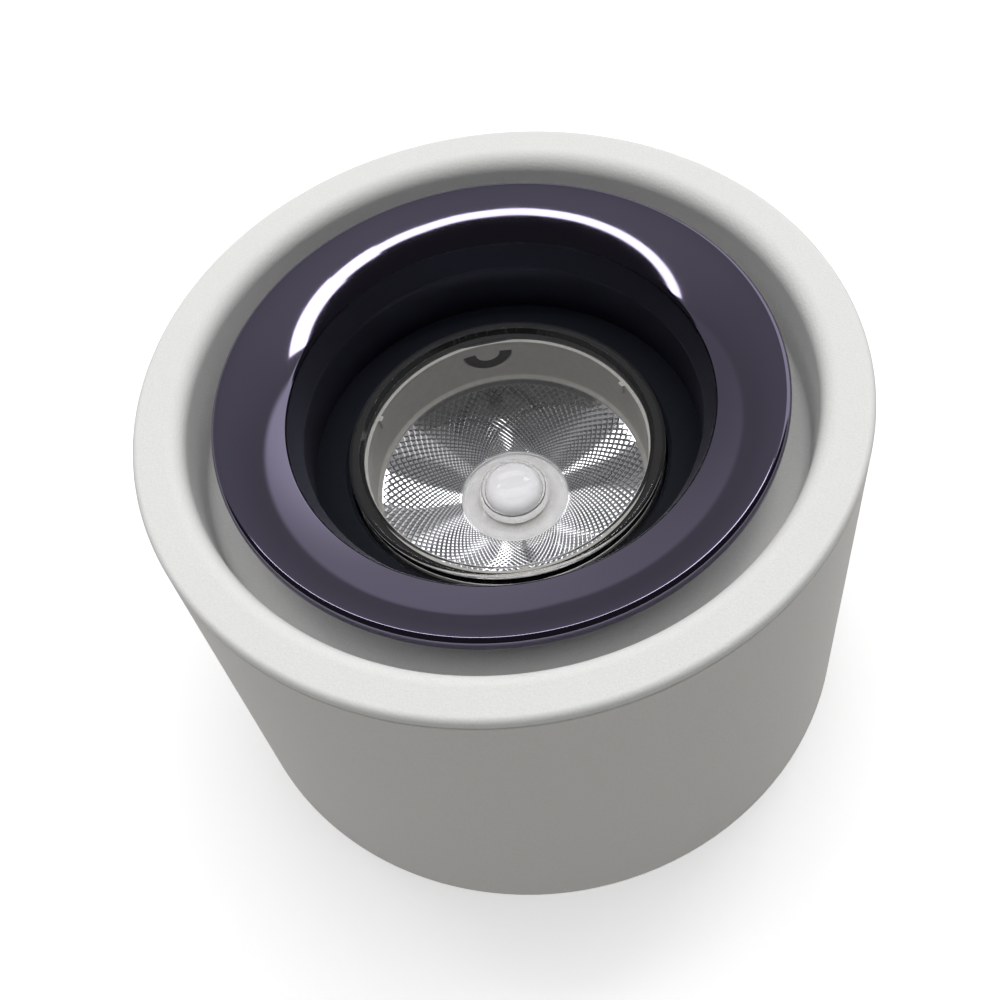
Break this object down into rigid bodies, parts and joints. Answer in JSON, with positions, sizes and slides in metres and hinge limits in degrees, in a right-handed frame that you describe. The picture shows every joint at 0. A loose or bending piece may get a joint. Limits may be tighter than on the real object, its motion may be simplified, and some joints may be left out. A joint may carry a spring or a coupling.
{
  "type": "surface-mounted downlight",
  "caption": "Short round surface-mounted downlight with a recessed tilting lamp head, a glossy bell-mouthed anti-glare ring and a clear front lens.",
  "frame": {"origin": "centre of the ceiling face, on the plane that meets the ceiling", "axes": "+Z is the direction in which the light leaves, along the housing's axis; the tilt axis is along X; the ceiling screws lie on X"},
  "size_m": [0.096, 0.096, 0.06],
  "materials": {
    "white_powder_coat": "fine matte powder coat",
    "white_powder_coat_face": "fine matte powder coat",
    "black_chrome": "mirror, black chrome with a violet cast",
    "black_coat": "satin black",
    "black_steel": "matte black",
    "black_screw": "black oxide",
    "clear_acrylic": "polished clear",
    "clear_silicone": "clear",
    "frosted_cap": "frosted",
    "white_plastic": "satin moulded",
    "bright_reflector": "bright metallised facets",
    "phosphor": "matte",
    "ceramic": "matte",
    "thermal_pad": "matte",
    "raw_aluminium": "extruded",
    "zinc_steel": "zinc plated",
    "zinc_screw": "zinc plated",
    "brass": "plated",
    "natural_nylon": "natural nylon",
    "black_rubber": "matte",
    "driver_plastic": "moulded",
    "circuit_board": "solder mask",
    "ferrite": "matte",
    "winding_tape": "polyester tape",
    "capacitor_sleeve": "sleeved",
    "chip_resin": "moulded"
  },
  "bodies": {
    "ceiling_mount": {"ceiling_plate": "zinc_steel", "cable_grommet": "black_rubber", "terminal_block": "natural_nylon", "terminal_clamps": "brass", "terminal_screws": "zinc_screw", "terminal_fixings": "zinc_screw", "earth_tag": "brass", "earth_screw": "zinc_screw"},
    "housing": {"barrel": "white_powder_coat", "front_bezel": "white_powder_coat_face", "chassis_plate": "zinc_steel", "chassis_screws": "zinc_screw", "bayonet_ring": "zinc_steel", "bayonet_screws": "zinc_screw", "pan_bush": "brass", "pan_washer": "natural_nylon", "driver_case": "driver_plastic", "driver_lid": "driver_plastic", "driver_screws": "zinc_screw", "driver_board": "circuit_board", "transformer_core": "ferrite", "transformer_coil": "winding_tape", "capacitors": "capacitor_sleeve", "driver_chips": "chip_resin", "input_socket": "natural_nylon", "output_socket": "natural_nylon"},
    "yoke": {"yoke": "black_steel"},
    "lamp_head": {"trim_ring": "black_chrome", "lamp_cup": "black_coat", "lens_retainer": "black_coat", "pivot_screws": "black_screw", "pivot_washers": "natural_nylon", "front_lens": "clear_acrylic", "lens_seal": "black_rubber", "lens_holder": "white_plastic", "reflector": "bright_reflector", "led_dome": "clear_silicone", "led_capsule": "frosted_cap", "led_emitter": "phosphor", "led_board": "ceramic", "led_frame": "white_plastic", "led_frame_screws": "zinc_screw", "thermal_pad": "thermal_pad", "heat_sink": "raw_aluminium", "heat_sink_screws": "zinc_screw"}
  },
  "joints": [
    {"name": "housing_twist", "type": "hinge", "parent": "ceiling_mount", "child": "housing", "pos_m": [0, 0, 0.0042], "axis": [0, 0, 1], "range_deg": [0, 24]},
    {"name": "head_pan", "type": "hinge", "parent": "housing", "child": "yoke", "pos_m": [0, 0, 0.0186], "axis": [0, 0, 1], "range_deg": [-172, 172]},
    {"name": "head_tilt", "type": "hinge", "parent": "yoke", "child": "lamp_head", "pos_m": [0, 0, 0.043], "axis": [1, 0, 0], "range_deg": [-12, 12]}
  ]
}
